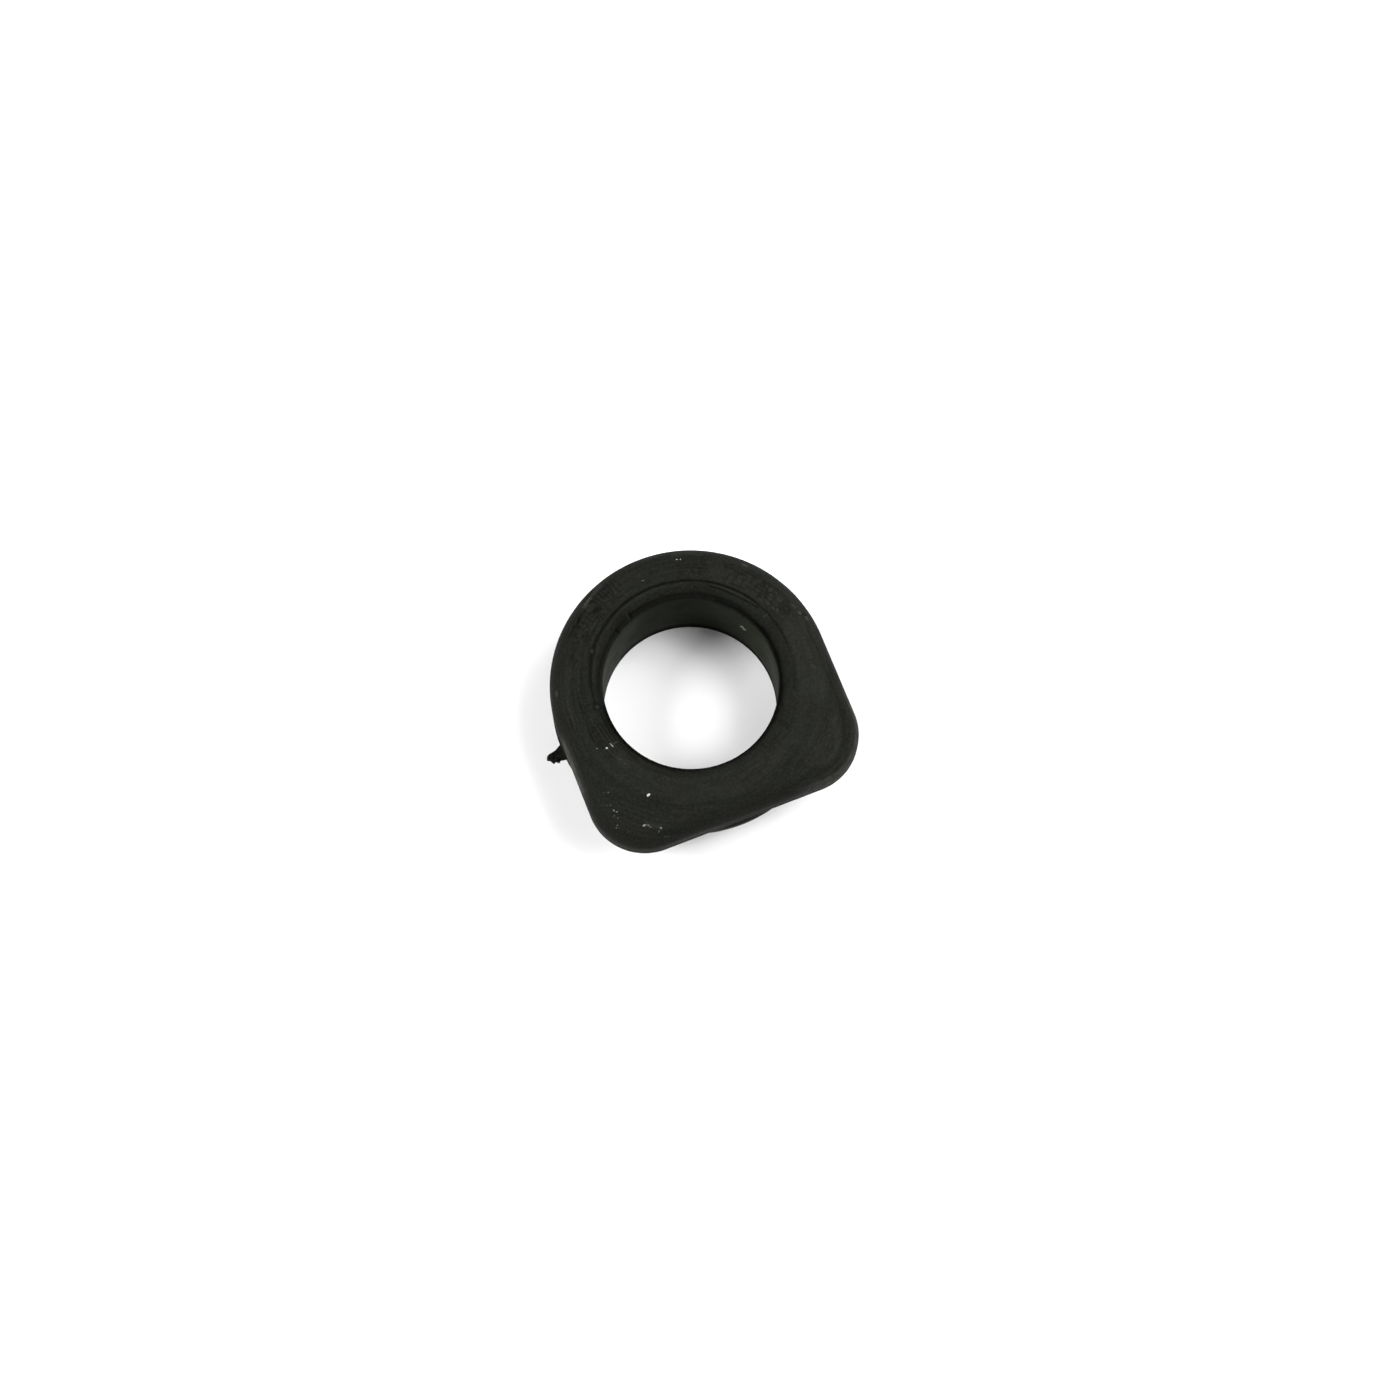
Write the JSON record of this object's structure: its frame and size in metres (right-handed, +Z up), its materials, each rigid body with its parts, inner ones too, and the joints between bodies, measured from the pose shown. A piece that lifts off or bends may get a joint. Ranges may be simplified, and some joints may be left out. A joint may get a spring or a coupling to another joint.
{
  "type": "valve cover grommet",
  "caption": "Moulded rubber valve cover grommet: round bore with a rounded lip, thick flange with one straight side, a panel groove and a tapered retaining ring.",
  "frame": {"origin": "middle of the whole piece's bounding box, at the foot face that the grommet rests on; the bore's axis stands at x = 1.3 mm, y = 0.3 mm, because the torn nib and the straight side reach further out than the round end", "axes": "+Z up along the bore's axis towards the upper flange; the straight side of the flange faces -Y; the torn nib points to -X"},
  "size_m": [0.0434, 0.0414, 0.017],
  "materials": {
    "black_rubber": "worn matt black rubber with fine surface crazing"
  },
  "bodies": {
    "root": {"grommet": "black_rubber"}
  },
  "joints": []
}
